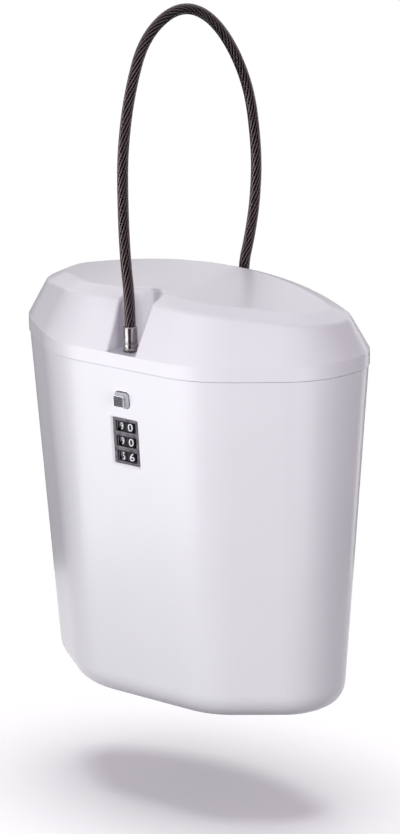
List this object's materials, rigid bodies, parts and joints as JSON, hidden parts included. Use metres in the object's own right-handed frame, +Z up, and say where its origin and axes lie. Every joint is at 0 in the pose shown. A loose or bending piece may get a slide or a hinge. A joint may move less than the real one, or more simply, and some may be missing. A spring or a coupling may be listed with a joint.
{
  "type": "portable safe",
  "caption": "Portable lidded safe: a rounded, tapering body with a number-dial lock and a release button, and a looped security cable that plugs down through the lid into the lock",
  "frame": {"origin": "centre of the seam outline, on the plane the base stands on", "axes": "+Z up, the lock and the cable notch face -Y, +X to the right seen from the rear"},
  "size_m": [0.2196, 0.1311, 0.3924],
  "materials": {
    "shell_plastic": "satin moulded plastic with a fine grain",
    "inner_plastic": "matt moulded plastic",
    "lock_plastic": "matt dark moulded plastic",
    "seal_rubber": "soft black rubber",
    "lock_plate_metal": "satin plated metal",
    "dial_plastic": "satin near-black plastic",
    "cam_brass": "plain machined brass",
    "bare_steel": "bright zinc-plated steel",
    "spring_steel": "blued spring steel",
    "button_metal": "satin chrome",
    "pad_rubber": "ribbed dark rubber",
    "ferrule_chrome": "polished nickel plate",
    "cable_jacket": "clear glossy jacket over dark twisted wire"
  },
  "bodies": {
    "safe_body": {"body_shell": "shell_plastic", "hinge_lugs": "shell_plastic", "hinge_pin": "bare_steel", "lock_plate": "lock_plate_metal", "lock_housing": "lock_plastic", "lock_cover": "lock_plastic", "dial_spindle": "bare_steel", "detent_spring": "spring_steel", "housing_screws": "bare_steel", "cover_screws": "bare_steel"},
    "dial_1_body": {"dial_1": "dial_plastic", "code_cam_1": "cam_brass"},
    "dial_2_body": {"dial_2": "dial_plastic", "code_cam_2": "cam_brass"},
    "dial_3_body": {"dial_3": "dial_plastic", "code_cam_3": "cam_brass"},
    "release": {"release_button": "button_metal", "button_pad": "pad_rubber", "latch_slide": "bare_steel"},
    "lid": {"lid_shell": "shell_plastic", "lid_panel": "inner_plastic", "rim_seal": "seal_rubber", "panel_screws": "bare_steel", "front_bush": "bare_steel", "rear_bush": "bare_steel"},
    "cable": {"security_cable": "cable_jacket", "front_ferrule": "ferrule_chrome", "rear_ferrule": "ferrule_chrome", "lock_plug": "ferrule_chrome", "guide_rod": "bare_steel", "stop_collar": "bare_steel"}
  },
  "joints": [
    {"name": "lid_hinge", "type": "hinge", "parent": "safe_body", "child": "lid", "pos_m": [0, 0.06451, 0.2], "axis": [-1, 0, 0], "range_deg": [0, 105]},
    {"name": "cable_slide", "type": "slide", "parent": "lid", "child": "cable", "axis": [0, 0, 1], "range_m": [0, 0.025]},
    {"name": "release_slide", "type": "slide", "parent": "safe_body", "child": "release", "axis": [0, 0.9982, 0.0604], "range_m": [0, 0.0028], "stiffness_N_per_m": 600, "springref_m": -0.002},
    {"name": "dial_1_turn", "type": "hinge", "parent": "safe_body", "child": "dial_1_body", "pos_m": [0, -0.04718, 0.16682], "axis": [0, -0.0604, 0.9982], "continuous": true},
    {"name": "dial_2_turn", "type": "hinge", "parent": "safe_body", "child": "dial_2_body", "pos_m": [0, -0.04666, 0.15814], "axis": [0, -0.0604, 0.9982], "continuous": true},
    {"name": "dial_3_turn", "type": "hinge", "parent": "safe_body", "child": "dial_3_body", "pos_m": [0, -0.04613, 0.14946], "axis": [0, -0.0604, 0.9982], "continuous": true}
  ]
}
